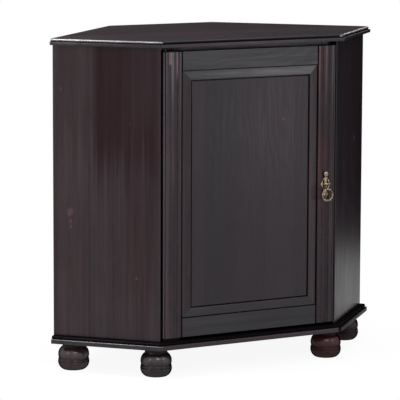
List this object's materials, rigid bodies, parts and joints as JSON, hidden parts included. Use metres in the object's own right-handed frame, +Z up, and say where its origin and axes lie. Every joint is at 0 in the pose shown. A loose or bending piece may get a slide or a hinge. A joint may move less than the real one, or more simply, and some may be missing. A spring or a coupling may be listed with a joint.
{
  "type": "corner cupboard",
  "caption": "Low corner cupboard with one framed door between slanted sides, moulded top and base boards, turned bun feet and a brass ring pull.",
  "frame": {"origin": "on the floor, under the middle of the bounding box", "axes": "+X along the front to the viewer's right, +Y from the door towards the corner of the room, +Z up; the door faces -Y"},
  "size_m": [0.942, 0.527, 0.85],
  "materials": {
    "stained_pine": "dark brown stain under a satin lacquer",
    "hardboard": "plain brown hardboard",
    "aged_brass": "antique brass, dark in its hollows",
    "bronzed_steel": "dark bronzed steel",
    "bright_steel": "zinc-plated steel",
    "brown_plastic": "brown moulded plastic",
    "black_nylon": "black nylon"
  },
  "bodies": {
    "carcass": {"top_board": "stained_pine", "base_board": "stained_pine", "left_side_panel": "stained_pine", "right_side_panel": "stained_pine", "left_wall_panel": "stained_pine", "right_wall_panel": "stained_pine", "corner_back_panel": "hardboard", "left_stop_post": "stained_pine", "right_stop_post": "stained_pine", "top_stop_rail": "stained_pine", "shelf": "stained_pine", "shelf_pin_left_side": "bright_steel", "shelf_pin_left_wall_1": "bright_steel", "shelf_pin_left_wall_2": "bright_steel", "shelf_pin_right_side": "bright_steel", "shelf_pin_right_wall_1": "bright_steel", "shelf_pin_right_wall_2": "bright_steel", "left_front_foot": "stained_pine", "left_side_foot": "stained_pine", "left_back_foot": "stained_pine", "right_front_foot": "stained_pine", "right_side_foot": "stained_pine", "right_back_foot": "stained_pine", "left_front_foot_bolt": "bright_steel", "left_side_foot_bolt": "bright_steel", "left_back_foot_bolt": "bright_steel", "right_front_foot_bolt": "bright_steel", "right_side_foot_bolt": "bright_steel", "right_back_foot_bolt": "bright_steel", "upper_hinge_fixed_leaf": "bronzed_steel", "upper_hinge_pin": "bright_steel", "upper_hinge_washer": "black_nylon", "lower_hinge_fixed_leaf": "bronzed_steel", "lower_hinge_pin": "bright_steel", "lower_hinge_washer": "black_nylon", "magnetic_catch": "brown_plastic"},
    "door": {"door_left_stile": "stained_pine", "door_right_stile": "stained_pine", "door_top_rail": "stained_pine", "door_bottom_rail": "stained_pine", "door_panel": "stained_pine", "moulding_left": "stained_pine", "moulding_right": "stained_pine", "moulding_top": "stained_pine", "moulding_bottom": "stained_pine", "left_fluted_strip": "stained_pine", "right_fluted_strip": "stained_pine", "upper_hinge_door_leaf": "bronzed_steel", "upper_hinge_leaf_screw": "bright_steel", "lower_hinge_door_leaf": "bronzed_steel", "lower_hinge_leaf_screw": "bright_steel", "catch_strike": "bright_steel", "pull_plate": "aged_brass", "pull_post": "aged_brass", "pull_screw": "bright_steel"},
    "ring": {"pull_ring": "aged_brass"}
  },
  "joints": [
    {"name": "door_hinge", "type": "hinge", "parent": "carcass", "child": "door", "pos_m": [-0.2395, -0.23554, 0.099], "axis": [0, 0, -1], "range_deg": [0, 110]},
    {"name": "ring_swing", "type": "hinge", "parent": "door", "child": "ring", "pos_m": [0.2187, -0.25884, 0.452], "axis": [-1, 0, 0], "range_deg": [-10, 100]}
  ]
}
